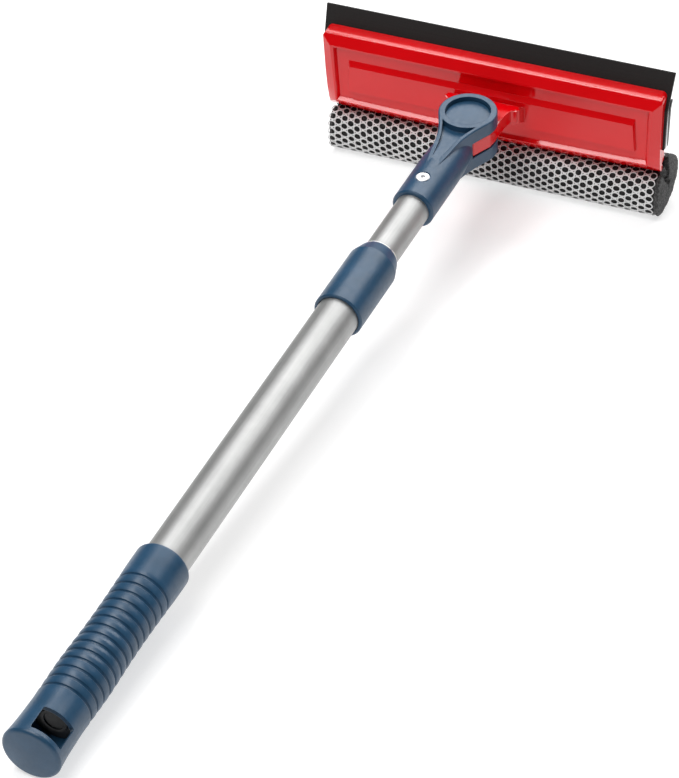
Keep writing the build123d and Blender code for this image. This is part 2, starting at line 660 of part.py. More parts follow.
CLAMP_SCREW_X = (-84.0, -34.0, 34.0, 84.0)
CLAMP_SCREW_Z = -9.0
CLAMP_SCREW_R = 1.5
CLAMP_SCREW_TIP = 37.6
CLAMP_SCREW_HEAD_R = 3.0


def screw_holes(body):
    for x in CLAMP_SCREW_X:
        body -= y_cylinder(CLAMP_SCREW_R, 30, 60, x, CLAMP_SCREW_Z)
    return body


def make_rubber_blade():
    return screw_holes(bent_strip(0, BLADE_THICKNESS, BLADE_TOP, BLADE_HALF_TOP, BLADE_HALF_BOTTOM))


def make_blade_stiffener():
    far = BLADE_THICKNESS + STIFFENER_THICKNESS
    return screw_holes(bent_strip(BLADE_THICKNESS, far, PACK_TOP, STIFFENER_HALF_TOP, PACK_HALF_BOTTOM))


def make_rear_clamp():
    offset = BLADE_THICKNESS + STIFFENER_THICKNESS
    body = bent_strip(offset, offset + CLAMP_THICKNESS, PACK_TOP - 0.8, CLAMP_HALF_TOP, PACK_HALF_BOTTOM)
    back = PLATE_BACK + offset + CLAMP_THICKNESS
    for z in (-16.5, 0.5):
        bead = [(back - 0.5, z - 1), (back + 1.6, z - 0.6), (back + 1.6, z + 0.6), (back - 0.5, z + 1)]
        body += section_prism(bead, 106)
    return screw_holes(body)


def make_clamp_screws():
    back = PLATE_BACK + BLADE_THICKNESS + STIFFENER_THICKNESS + CLAMP_THICKNESS
    screws = []
    for x in CLAMP_SCREW_X:
        shank = y_cylinder(CLAMP_SCREW_R, CLAMP_SCREW_TIP, back, x, CLAMP_SCREW_Z)
        head = y_cylinder(CLAMP_SCREW_HEAD_R, back, back + 1.8, x, CLAMP_SCREW_Z)
        head = fillet(head.edges().sort_by(Axis.Y)[-1], 0.8)
        cross = Pos(x, back + 1.8, CLAMP_SCREW_Z) * (Box(3.4, 1.6, 0.8) + Box(0.8, 1.6, 3.4))
        screws.append(shank + head - cross)
    return Compound(children=screws)


# ---------------------------------------------------------------- sponge, net and their bar
BAR_Y = 48.6
BAR_SCREW_X = (-90.0, -30.0, 30.0, 90.0)
BAR_SCREW_R = 1.4


def make_core_bar():
    body = section_prism([(44.3, -29.6), (54.0, -29.6), (54.0, -23.2), (43.4, -23.2)], 102.0)
    for x in BAR_SCREW_X:
        body -= pivot_cylinder(BAR_SCREW_R, -40, 0, x, BAR_Y)
        body -= pivot_cylinder(2.9, -40, -27.4, x, BAR_Y)
    return body


def make_core_bar_screws():
    screws = []
    for x in BAR_SCREW_X:
        shank = pivot_cylinder(BAR_SCREW_R, -27.4, PACK_BOTTOM - 0.3, x, BAR_Y)
        head = pivot_cylinder(2.6, -29.2, -27.4, x, BAR_Y)
        screws.append(shank + head)
    return Compound(children=screws)


# outside of the net, from its front edge under the plate round to its rear edge
NET_PATH = [
    (46.6, -39.4), (41.5, -40.4), (37.2, -43.6), (35.0, -49.6), (34.5, -58.0), (36.6, -65.6),
    (44.0, -70.6), (55.0, -71.4), (66.5, -68.6), (74.6, -62.4), (77.4, -55.0), (74.6, -47.6),
    (66.6, -40.0), (58.4, -34.4), (54.2, -34.2),
]


def sponge_section(inset):
    """Section of the sponge, or of the net round it, as a face in the YZ plane."""
    centre = (55.0, -53.0)
    path = []
    for y, z in NET_PATH:
        distance = math.hypot(y - centre[0], z - centre[1])
        scale = 1 - inset / distance
        path.append((0, centre[0] + (y - centre[0]) * scale, centre[1] + (z - centre[1]) * scale))
    curve = Spline(*path)
    top = [path[-1], (0, 53.6, -30.4), (0, 46.0, -30.4), path[0]]
    return make_face(Wire([curve] + [Line(a, b) for a, b in zip(top, top[1:])]))


def make_sponge_core():
    """Foam roll whose neck is gripped in the channel, between its end walls."""
    body = extrude(sponge_section(NET_THICKNESS), SPONGE_HALF, dir=(1, 0, 0), both=True)
    return body - end_wall_room()


def make_mesh_cover():
    skin = extrude(sponge_section(0.0), NET_HALF, dir=(1, 0, 0), both=True)
    inner = extrude(sponge_section(NET_THICKNESS), NET_HALF + 1, dir=(1, 0, 0), both=True)
    return skin - inner - end_wall_room()


def end_wall_room():
    """Room that the sponge and the net leave for the channel's end walls."""
    height = 20
    middle = Pos(0, 50, CHANNEL_FLOOR - 0.3 + height / 2)
    inner_half = END_WALL_X - END_WALL_HALF - 0.4
    return middle * Box(240, 30, height) - middle * Box(2 * inner_half, 40, height + 10)


# ---------------------------------------------------------------- assembly
HANDLE = {
    "grip": make_grip,
    "outer_tube": make_outer_tube,
    "tube_end_plug": make_tube_end_plug,
    "lock_sleeve": make_lock_sleeve,
}
COLLAR = {"lock_collar": make_lock_collar}
SLIDER = {"guide_bush": make_guide_bush}
POLE = {
    "inner_tube": make_inner_tube,
    "guide_pins": make_guide_pins,
    "fork": make_fork,
    "socket_rivet": make_socket_rivet,
    "rivet_mandrel": make_rivet_mandrel,
    "pivot_screw": make_pivot_screw,
    "spring_washer": make_spring_washer,
    "pivot_nut": make_pivot_nut,
    "pivot_spacer": make_pivot_spacer,
    "friction_washer_upper": lambda: make_friction_washer(1),
    "friction_washer_lower": lambda: make_friction_washer(-1),
    "pivot_cap_upper": lambda: make_pivot_cap(1),
    "pivot_cap_lower": lambda: make_pivot_cap(-1),
}
HEAD = {
    "head_shell": make_head_shell,
    "rubber_blade": make_rubber_blade,
    "blade_stiffener": make_blade_stiffener,
    "rear_clamp": make_rear_clamp,
    "clamp_screws": make_clamp_screws,
    "core_bar": make_core_bar,
    "core_bar_screws": make_core_bar_screws,
    "sponge_core": make_sponge_core,
    "mesh_cover": make_mesh_cover,
}
BODIES = {"handle": HANDLE, "collar": COLLAR, "slider": SLIDER, "pole": POLE, "head": HEAD}

GRIP_REST = (-535.2, -16.4)     # lowest points of grip and sponge in the working frame (y, z)
SPONGE_REST = (51.0, -71.5)
REST_TILT = math.degrees(math.atan2(GRIP_REST[1] - SPONGE_REST[1], SPONGE_REST[0] - GRIP_REST[0]))


def working_solids():
    """Every node in the working frame, with the head turned on its pivot."""
    solids = {}
    for body, nodes in BODIES.items():
        for name, make in nodes.items():
            solid = make()
            solids[name] = Rot(0, 0, HEAD_YAW) * solid if body == "head" else solid
    return solids


def rest_location(solids):
    """Where the working frame goes when the tool lies on the ground."""
    tilt = Rot(REST_TILT, 0, 0)
    boxes = [(tilt * solid).bounding_box() for solid in solids.values()]
    low = [min(getattr(box.min, axis) for box in boxes) for axis in "XYZ"]
    high = [max(getattr(box.max, axis) for box in boxes) for axis in "XYZ"]
    return Pos(-(low[0] + high[0]) / 2, -(low[1] + high[1]) / 2, -low[2]) * tilt


def main():
    os.makedirs(PARTS, exist_ok=True)
    solids = working_solids()
    place = rest_location(solids)
    for name, solid in solids.items():
        export_step(place * solid, os.path.join(PARTS, name + ".step"))


if __name__ == "__main__":
    main()
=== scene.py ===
import json
import math

import bpy
import numpy as np
from mathutils import Euler, Matrix, Vector, noise
from mathutils.bvhtree import BVHTree


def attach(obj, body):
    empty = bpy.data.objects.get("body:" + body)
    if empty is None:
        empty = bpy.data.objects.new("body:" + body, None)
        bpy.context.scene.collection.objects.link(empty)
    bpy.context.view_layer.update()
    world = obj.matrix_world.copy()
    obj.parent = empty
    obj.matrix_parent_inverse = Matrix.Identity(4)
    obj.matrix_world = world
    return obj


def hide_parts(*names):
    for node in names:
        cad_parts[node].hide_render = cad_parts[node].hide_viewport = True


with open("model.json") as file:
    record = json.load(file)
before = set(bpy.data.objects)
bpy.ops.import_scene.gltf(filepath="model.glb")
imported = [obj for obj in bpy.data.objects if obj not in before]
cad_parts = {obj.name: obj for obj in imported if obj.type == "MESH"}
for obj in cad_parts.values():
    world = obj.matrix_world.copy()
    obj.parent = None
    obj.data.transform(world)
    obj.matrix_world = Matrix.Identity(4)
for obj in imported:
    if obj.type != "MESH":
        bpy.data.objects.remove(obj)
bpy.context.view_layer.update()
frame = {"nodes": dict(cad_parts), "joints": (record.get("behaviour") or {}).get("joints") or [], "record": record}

# Looks of the telescopic window washer.  The CAD nodes keep their shapes and get materials;
# the net and the foam roll are built here.  Lengths are metres; MM turns millimetres into metres.
MM = 0.001


# ---------------------------------------------------------------- frames worked out from the joints
def joint(name):
    return next(j for j in frame["joints"] if j["name"] == name)


pole_axis = Vector(joint("pole_slide")["axis"]).normalized()
pivot_axis = Vector(joint("head_swivel")["axis"]).normalized()
pivot_centre = Vector(joint("head_swivel")["pos_m"])
swivel_low, swivel_high = joint("head_swivel")["range_deg"]
head_yaw = -(swivel_low + swivel_high) / 2      # the swivel's range is centred on a square head

# the pole's frame: origin at the pivot, +Y along the pole, +Z along the pivot axis
pole_frame = Matrix((pole_axis.cross(pivot_axis), pole_axis, pivot_axis)).transposed().to_4x4()
pole_frame.translation = pivot_centre
head_frame = pole_frame @ Matrix.Rotation(math.radians(head_yaw), 4, "Z")


# ---------------------------------------------------------------- node helpers
class Shader:
    """A material with a Principled shader, and short calls for the nodes that feed it."""

    def __init__(self, name, frame_matrix=None):
        self.material = bpy.data.materials.new(name)
        self.material.use_nodes = True
        self.tree = self.material.node_tree
        self.bsdf = self.tree.nodes["Principled BSDF"]
        coordinates = self.add("ShaderNodeTexCoord")
        self.place = coordinates.outputs["Object"]
        if frame_matrix is not None:
            # turn the object coordinates into that frame, so grain runs along its axes
            turn = frame_matrix.to_3x3().inverted().to_euler()
            self.place = self.mapped(rotation=turn)

    def add(self, kind, **settings):
        node = self.tree.nodes.new(kind)
        for key, value in settings.items():
            setattr(node, key, value)
        return node

    def link(self, source, target):
        self.tree.links.new(source, target)

    def mapped(self, scale=(1, 1, 1), rotation=(0, 0, 0)):
        node = self.add("ShaderNodeMapping")
        node.inputs["Scale"].default_value = scale
        node.inputs["Rotation"].default_value = rotation
        self.link(self.place, node.inputs["Vector"])
        return node.outputs["Vector"]

    def noise(self, scale, detail=3.0, rough=0.55, stretch=None, distortion=0.0):
        node = self.add("ShaderNodeTexNoise")
        node.inputs["Scale"].default_value = scale
        node.inputs["Detail"].default_value = detail
        node.inputs["Roughness"].default_value = rough
        node.inputs["Distortion"].default_value = distortion
        source = self.mapped(scale=stretch) if stretch else self.place
        self.link(source, node.inputs["Vector"])
        return node.outputs["Fac"]

    def cells(self, scale):
        node = self.add("ShaderNodeTexVoronoi")
        node.inputs["Scale"].default_value = scale
        self.link(self.place, node.inputs["Vector"])
        return node.outputs["Distance"]

    def ramp(self, source, stops):
        """Colour ramp over (position, colour) stops."""
        node = self.add("ShaderNodeValToRGB")
        ramp = node.color_ramp
        while len(ramp.elements) < len(stops):
            ramp.elements.new(0.5)
        for element, (position, colour) in zip(ramp.elements, stops):
            element.position = position
            element.color = (*colour, 1)
        self.link(source, node.inputs["Fac"])
        return node.outputs["Color"]

    def levels(self, source, low, high, start=0.3, end=0.7):
        """Maps source from start..end to low..high."""
        node = self.add("ShaderNodeMapRange")
        node.inputs["From Min"].default_value = start
        node.inputs["From Max"].default_value = end
        node.inputs["To Min"].default_value = low
        node.inputs["To Max"].default_value = high
        self.link(source, node.inputs["Value"])
        return node.outputs["Result"]

    def maths(self, operation, first, second):
        node = self.add("ShaderNodeMath", operation=operation)
        for socket, value in zip(node.inputs, (first, second)):
            if isinstance(value, (int, float)):
                socket.default_value = value
            else:
                self.link(value, socket)
        return node.outputs["Value"]

    def colour(self, source):
        self.link(source, self.bsdf.inputs["Base Color"])

    def roughness(self, source):
        self.link(source, self.bsdf.inputs["Roughness"])

    def bumps(self, layers, rounding=None):
        """Chain of bumps from (height, strength, distance in mm), over an edge rounding in mm."""
        normal = None
        if rounding:
            bevel = self.add("ShaderNodeBevel", samples=6)
            bevel.inputs["Radius"].default_value = rounding * MM
            normal = bevel.outputs["Normal"]
        for height, strength, distance in layers:
            bump = self.add("ShaderNodeBump")
            bump.inputs["Strength"].default_value = strength
            bump.inputs["Distance"].default_value = distance * MM
            self.link(height, bump.inputs["Height"])
            if normal:
                self.link(normal, bump.inputs["Normal"])
            normal = bump.outputs["Normal"]
        if normal:
            self.link(normal, self.bsdf.inputs["Normal"])

    def set(self, **values):
        """Uniform values, set on the shader's own sockets."""
        for key, value in values.items():
            self.bsdf.inputs[key.replace("_", " ")].default_value = value


# ---------------------------------------------------------------- materials
def navy_plastic():
    """Satin moulded plastic with a fine spark-eroded grain."""
    look = Shader("navy_grained_plastic")
    tone = look.noise(70.0, 4.0)
    look.colour(look.ramp(tone, [(0.32, (0.012, 0.052, 0.105)), (0.7, (0.018, 0.068, 0.136))]))
    grain = look.noise(1500.0, 4.0, 0.65)
    look.roughness(look.levels(look.noise(420.0, 4.0), 0.32, 0.44))
    look.set(Specular_IOR_Level=0.52)
    look.bumps([(look.noise(90.0, 2.0), 0.08, 0.1), (grain, 0.55, 0.07)], rounding=0.5)
    return look.material


def red_plastic():
    """Glossy moulding with faint flow waves and a few dull rub marks."""
    look = Shader("red_gloss_plastic", head_frame)
    tone = look.noise(25.0, 3.0)
    look.colour(look.ramp(tone, [(0.3, (0.65, 0.0008, 0.0032)), (0.75, (0.73, 0.0014, 0.0048))]))
    rubs = look.noise(300.0, 5.0, 0.65, stretch=(1.0, 1.0, 4.0))
    look.roughness(look.levels(rubs, 0.07, 0.16, 0.4, 0.75))
    look.set(Specular_IOR_Level=0.55)
    look.bumps([(look.noise(55.0, 1.0), 0.25, 0.10), (look.noise(1400.0, 2.0), 0.10, 0.02)], rounding=0.4)
    return look.material


def tube_aluminium():
    """Drawn aluminium: fine lines along the tube and a soft satin haze."""
    look = Shader("drawn_aluminium", pole_frame)
    lines = look.noise(900.0, 4.0, 0.6, stretch=(1.0, 0.012, 1.0))
    cloud = look.noise(60.0, 3.0)
    look.colour(look.ramp(cloud, [(0.3, (0.405, 0.407, 0.404)), (0.7, (0.455, 0.457, 0.453))]))
    look.roughness(look.levels(lines, 0.50, 0.62))
    look.set(Metallic=1.0)
    look.bumps([(lines, 0.30, 0.02)])
    return look.material


def bright_rivet():
    """Pale bare aluminium of the blind rivet."""
    look = Shader("rivet_aluminium_bright")
    look.colour(look.ramp(look.noise(500.0, 3.0), [(0.3, (0.86, 0.86, 0.87)), (0.7, (0.93, 0.93, 0.94))]))
    look.roughness(look.levels(look.noise(1500.0, 3.0), 0.48, 0.6))
    look.set(Metallic=1.0)
    look.bumps([(look.noise(900.0, 3.0), 0.12, 0.02)], rounding=0.15)
    return look.material


def zinc_steel():
    """Zinc-plated steel of the screws, nut, spring washer, spacer, pins and the rivet's mandrel."""
    look = Shader("zinc_plated_steel")
    look.colour(look.ramp(look.noise(700.0, 4.0), [(0.3, (0.50, 0.51, 0.53)), (0.7, (0.64, 0.65, 0.66))]))
    look.roughness(look.levels(look.noise(1300.0, 4.0), 0.28, 0.46))
    look.set(Metallic=1.0)
    look.bumps([(look.noise(1700.0, 3.0), 0.25, 0.03)], rounding=0.1)
    return look.material


def strip_aluminium():
    """Rolled strip with lines along its length."""
    look = Shader("strip_aluminium_satin", head_frame)
    lines = look.noise(1200.0, 4.0, 0.6, stretch=(0.01, 1.0, 1.0))
    look.colour(look.ramp(look.noise(90.0, 3.0), [(0.3, (0.70, 0.705, 0.71)), (0.7, (0.80, 0.805, 0.81))]))
    look.roughness(look.levels(lines, 0.3, 0.45))
    look.set(Metallic=1.0)
    look.bumps([(lines, 0.25, 0.02)], rounding=0.15)
    return look.material


def white_nylon():
    """Undyed nylon, slightly translucent."""
    look = Shader("natural_nylon")
    look.colour(look.ramp(look.noise(220.0, 3.0), [(0.3, (0.78, 0.775, 0.75)), (0.7, (0.84, 0.835, 0.81))]))
    look.roughness(look.levels(look.noise(900.0, 3.0), 0.35, 0.5))
    look.set(Subsurface_Weight=0.15, Subsurface_Scale=0.002)
    look.bumps([(look.noise(2200.0, 3.0), 0.3, 0.04)], rounding=0.15)
    return look.material


def black_plastic():
    """Black satin moulding with a fine grain."""
    look = Shader("black_satin_plastic")
    tone = look.noise(180.0, 3.0)
    look.colour(look.ramp(tone, [(0.3, (0.012, 0.012, 0.013)), (0.7, (0.020, 0.020, 0.021))]))
    look.roughness(look.levels(look.noise(700.0, 4.0), 0.36, 0.52))
    look.bumps([(look.noise(2400.0, 3.0), 0.35, 0.05)], rounding=0.25)
    return look.material


def blade_rubber():
    """Matte rubber with faint lines along its length and a trace of dust."""
    look = Shader("squeegee_rubber", head_frame)
    lines = look.noise(900.0, 4.0, 0.6, stretch=(0.02, 1.0, 1.0))
    dust = look.noise(2200.0, 6.0, 0.7)
    blacks = [(0.35, (0.0095, 0.0080, 0.0078)), (0.62, (0.0145, 0.0125, 0.0120))]
    look.colour(look.ramp(dust, blacks + [(0.80, (0.040, 0.037, 0.035))]))
    look.roughness(look.levels(lines, 0.50, 0.66))
    look.set(Specular_IOR_Level=0.3)
    look.bumps([(lines, 0.25, 0.03), (look.noise(3000.0, 3.0), 0.3, 0.03)], rounding=0.2)
    return look.material


def sponge_foam(name, light):
    """Open-cell foam: painted shade in the pits between cell walls, with the whole painted brightness scaled by
    light.
    """
    look = Shader(name)
    pores = look.cells(1150.0)
    coarse = look.cells(520.0)
    mixed = look.maths("ADD", look.maths("MULTIPLY", pores, 0.6), look.maths("MULTIPLY", coarse, 0.4))
    speckle = look.noise(1600.0, 4.0, 0.7)
    lit = look.maths("MULTIPLY", mixed, speckle)
    # the ramp paints shade into the pits of the cells, darkest at their middles
    greys = ((0.08, 0.010), (0.24, 0.040), (0.42, 0.106))
    look.colour(look.ramp(lit, [(place, (light * grey,) * 3) for place, grey in greys]))
    look.set(Roughness=0.95, Specular_IOR_Level=0.15, Sheen_Weight=0.12, Sheen_Roughness=0.6)
    look.bumps([(mixed, 0.9, 0.5), (speckle, 0.6, 0.2)])
    return look.material


def net_yarn():
    """Knitted polyester yarn: fine twisted filaments with a soft sheen."""
    look = Shader("net_yarn")
    filaments = look.noise(2600.0, 4.0, 0.7, distortion=1.5)
    whites = [(0.28, (0.50, 0.505, 0.505)), (0.5, (0.74, 0.745, 0.745)), (0.72, (0.88, 0.88, 0.88))]
    look.colour(look.ramp(filaments, whites))
    look.set(Roughness=0.72, Sheen_Weight=0.25, Sheen_Roughness=0.4)
    look.bumps([(filaments, 0.7, 0.12)])
    return look.material


MATERIALS = {
    "navy_plastic": navy_plastic(),
    "red_plastic": red_plastic(),
    "white_plastic": white_nylon(),
    "black_plastic": black_plastic(),
    "tube_aluminium": tube_aluminium(),
    "rivet_aluminium": bright_rivet(),
    "stiffener_aluminium": strip_aluminium(),
    "zinc_steel": zinc_steel(),
    "blade_rubber": blade_rubber(),
    "sponge_foam": sponge_foam("open_cell_foam", light=1.05),
    "net_knit": net_yarn(),
}

# under the net the foam takes a darker copy of its material: painted shade where the net covers it
NET_SHADED_FOAM = sponge_foam("open_cell_foam_painted_shade_under_net", light=0.35)


def dress_cad_nodes():
    """Every CAD node takes the detailed material of its slot in the record."""
    for part in frame["record"]["subparts"]:
        mesh = frame["nodes"][part["node"]].data
        mesh.materials.clear()
        mesh.materials.append(MATERIALS[part["material_slot"]])


# ---------------------------------------------------------------- the roll's section, from the CAD net
# places are (y, z) in mm in the head's frame
NET_THICKNESS = 0.8             # mm, from the outside of the CAD net in to the foam
ROLL_CENTRE = (55.0, -53.0)     # a point inside the roll's section
NET_FRONT_EDGE = (46.6, -39.4)  # where the net goes in under the plate in front
NET_REAR_EDGE = (54.2, -34.2)   # where it ends behind the plate
SECTION_RAYS = 360
RAY_LENGTH = 60.0               # mm, more than the roll's radius
NET_SMOOTHING = 2               # rounds of smoothing of the section
FOAM_SMOOTHING = 3


def section_of_roll():
    """Outside of the CAD net at mid length, as a closed line of (y, z) in mm, from rays cast inwards."""
    node = frame["nodes"]["mesh_cover"]
    to_head = head_frame.inverted()
    points = [to_head @ vertex.co / MM for vertex in node.data.vertices]
    faces = [tuple(polygon.vertices) for polygon in node.data.polygons]
    tree = BVHTree.FromPolygons(points, faces)
    outline = []
    for step in range(SECTION_RAYS):
        angle = 2 * math.pi * step / SECTION_RAYS
        inward = Vector((0, -math.cos(angle), -math.sin(angle)))
        start = Vector((0, *ROLL_CENTRE)) - inward * RAY_LENGTH
        hit = tree.ray_cast(start, inward)[0]
        outline.append((hit.y, hit.z))
    return np.array(outline)


def smoothed(line, rounds):
    """A closed line whose points are averaged with their neighbours."""
    for _ in range(rounds):
        line = (np.roll(line, 1, axis=0) + 2 * line + np.roll(line, -1, axis=0)) / 4
    return line


def edge_index(outline, edge):
    """Index of the ray that points at an edge of the net."""
    angle = math.atan2(edge[1] - ROLL_CENTRE[1], edge[0] - ROLL_CENTRE[0])
    return round(angle / (2 * math.pi) * SECTION_RAYS) % SECTION_RAYS


class Path:
    """A line of (y, z) points walked by its length, with outward normals."""

    def __init__(self, points):
        self.points = points
        steps = np.linalg.norm(np.diff(points, axis=0), axis=1)
        self.walked = np.concatenate([[0.0], np.cumsum(steps)])
        self.length = float(self.walked[-1])
        tangents = np.gradient(points, self.walked, axis=0)
        tangents /= np.linalg.norm(tangents, axis=1)[:, None]
        normals = np.stack([tangents[:, 1], -tangents[:, 0]], axis=1)
        outward = points - np.array(ROLL_CENTRE)
        normals[(normals * outward).sum(1) < 0] *= -1
        self.normals = normals

    def at(self, distance, height):
        """Points at walked distances, lifted by height along the normal."""
        distance = np.clip(distance, 0.0, self.length)
        base = np.stack([np.interp(distance, self.walked, self.points[:, k]) for k in (0, 1)], axis=-1)
        normal = np.stack([np.interp(distance, self.walked, self.normals[:, k]) for k in (0, 1)], axis=-1)
        normal /= np.linalg.norm(normal, axis=-1, keepdims=True)
        return base + normal * np.asarray(height)[..., None]


def net_path():
    """The stretch of the section that the net covers, from its front edge round the bottom to the rear."""
    outline = smoothed(section_of_roll(), NET_SMOOTHING)
    front = edge_index(outline, NET_FRONT_EDGE)
    rear = edge_index(outline, NET_REAR_EDGE)
    count = (rear - front) % SECTION_RAYS
    indices = [(front + step) % SECTION_RAYS for step in range(count + 1)]
    return Path(outline[indices])


def mesh_object(name, points, faces, material):
    """Smooth-shaded object in the row frame from points in mm in the head's frame."""
    mesh = bpy.data.meshes.new(name)
    world = [head_frame @ (Vector(point) * MM) for point in points.tolist()]
    mesh.from_pydata([tuple(point) for point in world], [], faces)
    mesh.materials.append(material)
    mesh.polygons.foreach_set("use_smooth", [True] * len(mesh.polygons))
    mesh.validate()
    mesh.update()
    made = bpy.data.objects.new(name, mesh)
    bpy.context.scene.collection.objects.link(made)
    return made


# ---------------------------------------------------------------- knitted net
# its points are (x, t) in mm: x along the roll, and t walked round the section from the front edge
COLUMN = 4.12               # mm, from one column of holes to the next
HOLE_PITCH = 5.25           # mm, from hole to hole in a column
HOLE_HALF = (1.88, 1.74)    # mm, half width and half length of a hole
HOLE_POWER = 2.3            # 2 gives an ellipse, and more gives squarer holes
SIZE_SPREAD = 0.045         # how much the holes differ, as a share of their size
PLACE_SPREAD = 0.06         # mm, how far they lie off their places
PIN_CUT = 0.62              # mm taken off each end of a cell's edges, which leaves the small gaps
LARGEST_CUT = 0.32          # the same as a share of the edge, where that is less
EDGE_STEPS = 2              # segments along each long side of a cell
SNAP = 0.05                 # mm, rim points nearer than this are one point
SNAP_SHIFT = (0.13, 0.29)   # keeps the lattice's points off the steps of the rounding
NET_HALF = 105.0            # mm, half length along the roll
NET_SHIFT = -1.0            # mm along X: the net is cut nearer to the foam's left end than its right
YARN = 0.72                 # mm, thickness of the net
FAN = 0.0014                # per mm: the columns spread towards the plate, where the net is pulled wide
FAN_REACH = 40.0            # mm from the front edge over which they spread
FAN_LEVEL = 0.3             # share of that reach where the columns have their even spacing
DRIFT = 0.5                 # mm, how far the cloth drifts along the roll
DRIFT_SCALE = (0.03, 0.05)  # per mm, along the roll and round it


def cell_corners():
    """Corners of the six-sided cell round a hole of the staggered lattice."""
    side = (COLUMN ** 2 - HOLE_PITCH ** 2 / 4) / (2 * COLUMN)
    tip = COLUMN - side
    half = HOLE_PITCH / 2
    return np.array([(tip, 0), (side, half), (-side, half), (-tip, 0), (-side, -half), (side, -half)])


def cell_rim():
    """Points round a cell, with its corners cut off."""
    corners = cell_corners()
    rim = []
    for corner, following in zip(corners, np.roll(corners, -1, axis=0)):
        length = np.linalg.norm(following - corner)
        cut = min(PIN_CUT, LARGEST_CUT * length)
        first = corner + (following - corner) / length * cut
        last = following - (following - corner) / length * cut
        for step in range(EDGE_STEPS + 1):
            rim.append(first + (last - first) * step / EDGE_STEPS)
    return np.array(rim)


def hole_point(direction, stretch):
    """Point on a rounded hole in a direction from its centre."""
    x, t = direction / np.linalg.norm(direction)
    half_width, half_length = np.multiply(HOLE_HALF, stretch)
    powers = abs(x / half_width) ** HOLE_POWER + abs(t / half_length) ** HOLE_POWER
    return np.array((x, t)) * powers ** (-1 / HOLE_POWER)


# rings of a loop from the hole outwards: (share of the way, height as a share of the yarn)
TOP_RINGS = ((0.0, 0.45), (0.16, 0.86), (0.5, 1.0), (1.0, 0.68))
UNDER_RINGS = ((0.3, 0.06), (1.0, 0.16))


def make_net(path):
    """Warp-knitted net: a loop of yarn round every hole, joined to its six neighbours."""
    rng = np.random.default_rng(11)
    rim = cell_rim()
    columns = int(NET_HALF // COLUMN)
    rows = int(path.length // HOLE_PITCH)
    start = (path.length - rows * HOLE_PITCH) / 2
    count = len(rim)
    points, heights, faces, index_of = [], [], [], {}
    open_sides = {}     # sides of cells without a neighbour so far, by their two points

    def shared(x, t, height, key):
        """A rim point belongs to two cells, so it is made once."""
        key = (round(x / SNAP + SNAP_SHIFT[0]), round(t / SNAP + SNAP_SHIFT[1]), key)
        if key not in index_of:
            index_of[key] = len(points)
            points.append((x, t))
            heights.append(height)
        return index_of[key]

    for column in range(-columns, columns + 1):
        offset = HOLE_PITCH / 2 if column % 2 else 0.0
        for row in range(rows + 1 - column % 2):
            centre = np.array((column * COLUMN + NET_SHIFT, start + row * HOLE_PITCH + offset))
            stretch = rng.normal(1.0, SIZE_SPREAD, 2)
            shift = rng.normal(0.0, PLACE_SPREAD, 2)
            holes = np.array([hole_point(point, stretch) for point in rim]) + shift
            loops = []
            for share, height in TOP_RINGS + UNDER_RINGS:
                loop = []
                for hole, outer in zip(holes, rim):
                    x, t = centre + hole + (outer - hole) * share
                    if share == 1.0:
                        loop.append(shared(x, t, height, height))
                    else:
                        loop.append(len(points))
                        points.append((x, t))
                        heights.append(height)
                loops.append(loop)
            top, under = loops[:len(TOP_RINGS)], loops[len(TOP_RINGS):]
            bands = list(zip(top, top[1:])) + [(under[0], top[0]), (under[1], under[0])]
            for inner, outer in bands:
                for k in range(count):
                    following = (k + 1) % count
                    faces.append((inner[k], outer[k], outer[following], inner[following]))
            # the short sides at the cut corners open onto the small gaps, the others onto a neighbour
            for k in range(count):
                following = (k + 1) % count
                wall = (top[-1][k], under[-1][k], under[-1][following], top[-1][following])
                side = frozenset((wall[0], wall[3]))
                if k % (EDGE_STEPS + 1) == EDGE_STEPS:
                    faces.append(wall)
                elif side in open_sides:
                    del open_sides[side]
                else:
                    open_sides[side] = wall
    faces += open_sides.values()
    points, heights = np.array(points), np.array(heights)
    section = path.at(points[:, 1], heights * YARN - NET_THICKNESS)
    inside = np.clip(1 - (points[:, 0] / NET_HALF) ** 6, 0, 1)      # the cut ends stay square
    reach = FAN_REACH * FAN_LEVEL - np.minimum(points[:, 1], FAN_REACH)
    spread = 1 + FAN * inside * reach
    placed = np.column_stack([points[:, 0] * spread, section])
    # the cloth isn't perfectly even: it drifts a little along the roll
    scaled = points * DRIFT_SCALE
    placed[:, 0] += DRIFT * np.array([noise.noise(Vector((x, t, 0.0))) for x, t in scaled])
    net = mesh_object("net", placed, faces, MATERIALS["net_knit"])
    return net, (2 * NET_HALF * MM, path.length * MM)


# ---------------------------------------------------------------- foam roll
FOAM_HALF = 107.6       # mm, half length
FOAM_SHIFT = 0.8        # mm along X: the roll stands out a little further on the right
FOAM_STEP = 1.0         # mm, spacing of the stations along the roll
FOAM_AROUND = 150       # points round it
END_RINGS = 26          # rings of points on each end face
END_ROUND = 1.8         # mm, how far the end's rim is rounded back
END_POWER = 6           # the higher, the flatter the end face and the tighter its rim
END_REACH = 5.0         # mm from the end over which its dents fade out
BARE_FROM = 104.3       # mm, past here the foam is free of the net and swells to the net's outside
BARE_FADE = 1.5         # mm over which it comes free
SWELL = 0.7             # mm, how far the free foam stands out
PRESS = 0.35            # mm, how far the net presses the rest in
LUMPS = (0.12, 0.35)    # per mm, and mm: how closely the foam's lumps follow each other, and how high
PITS = (1.1, 0.28)      # the same for its pits
SKIN_FROM = 0.9         # share of the section past which a ring's points lie on the roll's skin
SKIN_BUMPS = 0.8        # strength of the bumps on the free skin
END_BUMPS = 1.1         # and on the end face
END_DEPTH = 0.3         # mm, level that the end face's bumps start from
# the fold in the foam's end, from the plate's corner down into the roll (y, z)
FOLD = ((45.5, -38.5), (48.2, -43.5), (52.8, -50.0), (56.5, -54.0))
FOLD_DEPTH = 3.2        # mm
FOLD_WIDTH = 1.5        # mm


